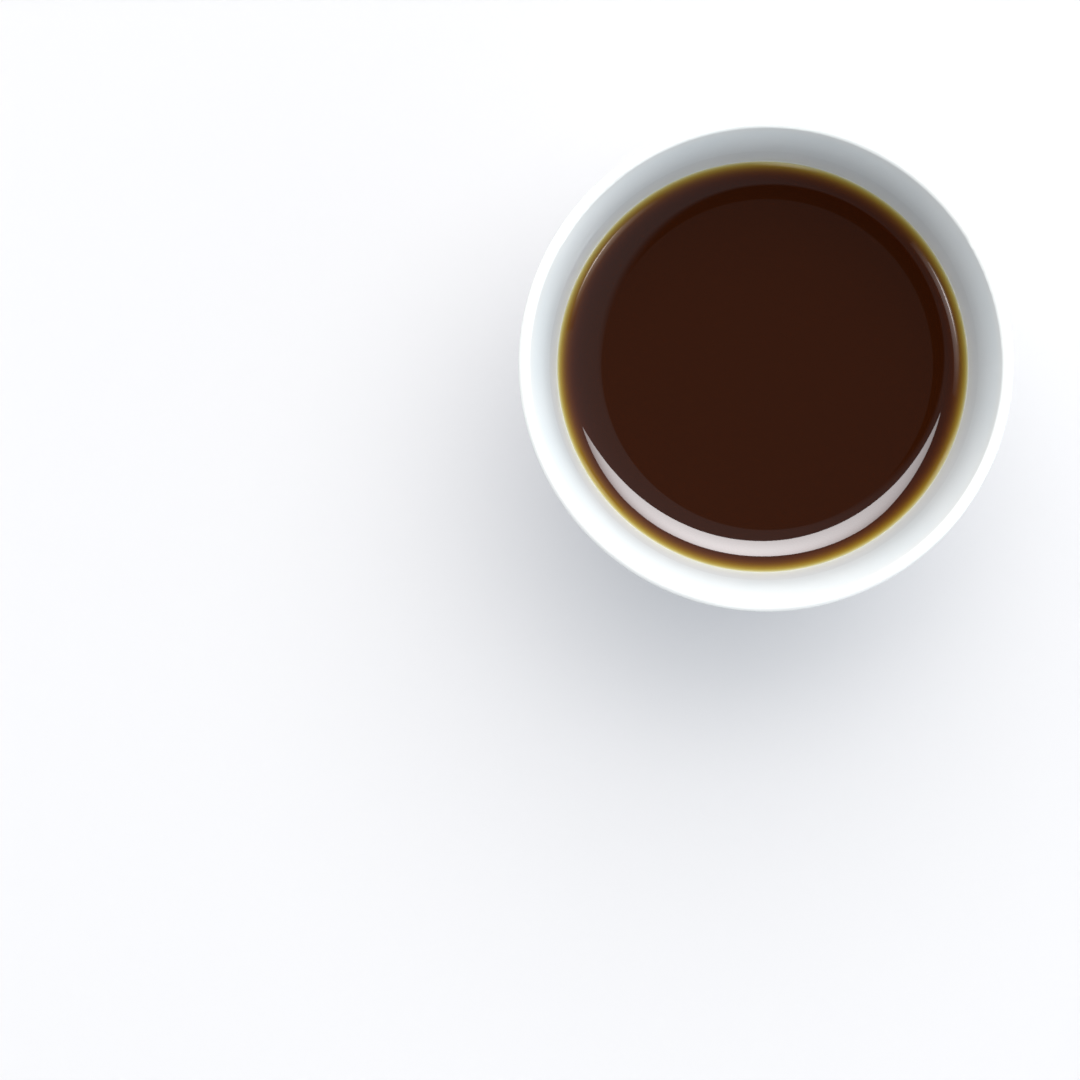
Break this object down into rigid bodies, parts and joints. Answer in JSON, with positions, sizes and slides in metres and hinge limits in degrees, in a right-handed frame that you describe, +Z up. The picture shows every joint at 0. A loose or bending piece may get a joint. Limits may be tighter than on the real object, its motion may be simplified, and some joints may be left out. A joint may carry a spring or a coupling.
{
  "type": "cup of masala chai",
  "caption": "Handleless white porcelain cup filled to below the rim with dark, clear spiced tea, on a small foot ring.",
  "frame": {"origin": "on the cup's axis, in the plane that the foot ring stands on", "axes": "+Z up along the cup's axis; X and Y are free, as the cup is round"},
  "size_m": [0.08, 0.08, 0.058],
  "materials": {
    "porcelain": "white glazed porcelain, bare on the foot ring's land",
    "tea": "clear brewed tea without milk: dark red-brown where deep, amber at its edge"
  },
  "bodies": {
    "root": {"cup": "porcelain", "tea": "tea"}
  },
  "joints": []
}
